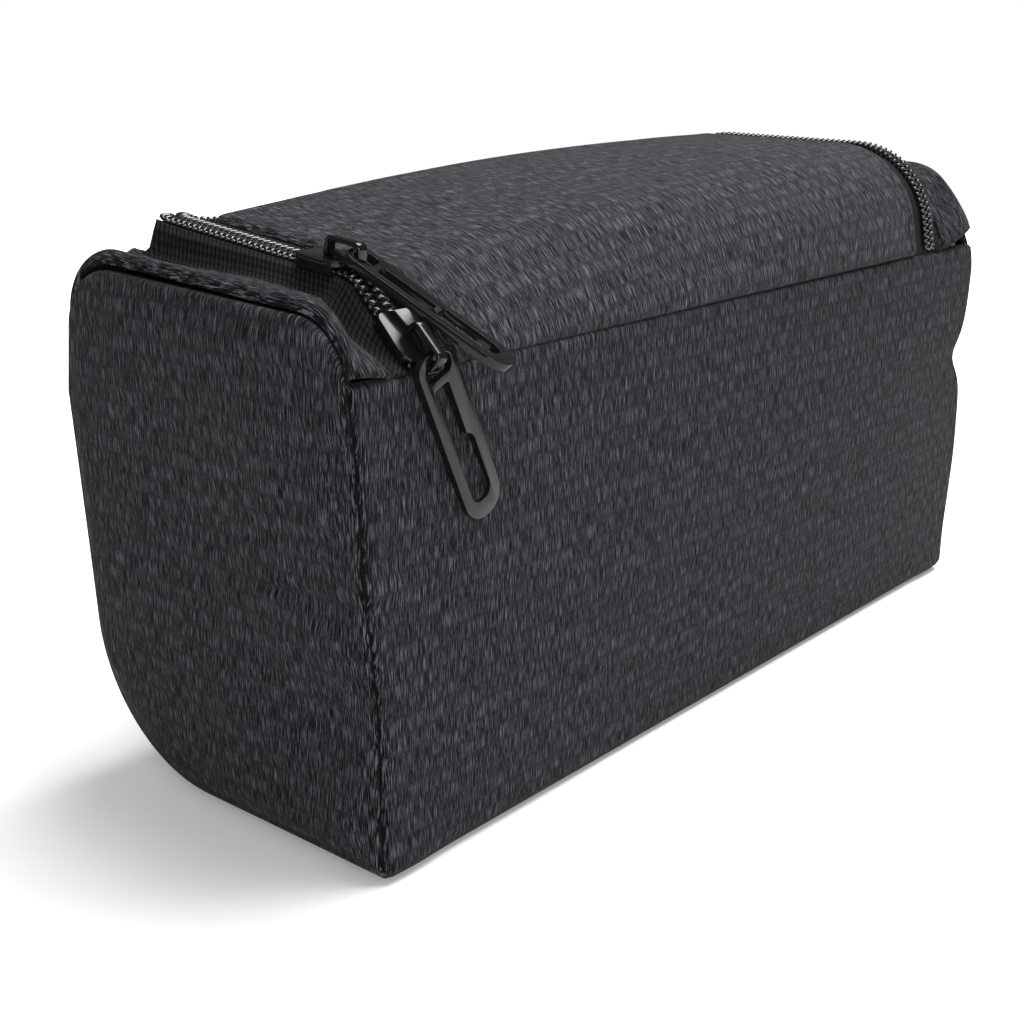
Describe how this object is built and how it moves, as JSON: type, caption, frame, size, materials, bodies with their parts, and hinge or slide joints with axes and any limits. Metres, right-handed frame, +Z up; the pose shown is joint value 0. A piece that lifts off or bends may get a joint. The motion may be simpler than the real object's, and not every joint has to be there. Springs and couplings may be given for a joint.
{
  "type": "travel accessory organizer",
  "caption": "Soft zip-top travel organizer bag in heathered cloth, with a fold-back lid, a U-shaped zip, sliders with metal pulls and an inner mesh pocket.",
  "frame": {"origin": "middle of the flat base, on the surface that the bag stands on", "axes": "+X along the bag from its left end to its right end, -Y out of the front with the long seam under the lid, +Z up"},
  "size_m": [0.253, 0.0978, 0.1315],
  "materials": {
    "heather_cloth": "charcoal heathered polyester, brushed weave",
    "lining_cloth": "thin dark grey polyester taffeta",
    "padding_foam": "thin sheet padding sewn between cloth and lining",
    "zip_tape": "black woven twill tape",
    "zip_coil": "black nylon coil, glossy",
    "pocket_mesh": "open knitted mesh",
    "pocket_elastic": "woven elastic tape",
    "black_metal": "glossy black lacquered zinc casting"
  },
  "bodies": {
    "bag_body": {"main_wrap": "heather_cloth", "left_end_panel": "heather_cloth", "right_end_panel": "heather_cloth", "left_top_strip": "heather_cloth", "right_top_strip": "heather_cloth", "back_top_strip": "heather_cloth", "lid_front_band": "heather_cloth", "wrap_foam": "padding_foam", "wrap_lining": "lining_cloth", "left_end_foam": "padding_foam", "right_end_foam": "padding_foam", "left_end_lining": "lining_cloth", "right_end_lining": "lining_cloth", "left_seam_binding": "zip_tape", "right_seam_binding": "zip_tape", "mesh_pocket": "pocket_mesh", "pocket_elastic": "pocket_elastic", "zip_tape_body": "zip_tape", "zip_tape_held": "zip_tape", "zip_coil_body": "zip_coil", "zip_coil_held": "zip_coil", "slider_2_body": "black_metal", "slider_2_crown": "black_metal", "slider_2_pawl": "black_metal"},
    "lid": {"lid_panel": "heather_cloth", "lid_foam": "padding_foam", "lid_lining": "lining_cloth", "zip_tape_lid": "zip_tape", "zip_coil_lid": "zip_coil"},
    "slider_1": {"slider_1_body": "black_metal", "slider_1_crown": "black_metal", "slider_1_pawl": "black_metal"},
    "pull_1": {"pull_1": "black_metal"},
    "pull_2": {"pull_2": "black_metal"}
  },
  "joints": [
    {"name": "lid_fold", "type": "hinge", "parent": "bag_body", "child": "lid", "pos_m": [0, -0.024, 0.1286], "axis": [0.998, 0, 0.0628], "range_deg": [0, 100]},
    {"name": "slider_1_travel", "type": "slide", "parent": "bag_body", "child": "slider_1", "axis": [0, 0.9931, 0.1177], "range_m": [0, 0.042]},
    {"name": "pull_1_swing", "type": "hinge", "parent": "slider_1", "child": "pull_1", "pos_m": [-0.1075, -0.02621, 0.11741], "axis": [-0.9092, -0.4163, 0], "range_deg": [0, 150]},
    {"name": "pull_2_swing", "type": "hinge", "parent": "bag_body", "child": "pull_2", "pos_m": [-0.1075, -0.04518, 0.10131], "axis": [-0.9135, 0, -0.4067], "range_deg": [0, 50]}
  ],
  "couplings": [
    {"joint": "pull_1_swing", "follows": "slider_1_travel", "rad_per_m": 62.333}
  ]
}
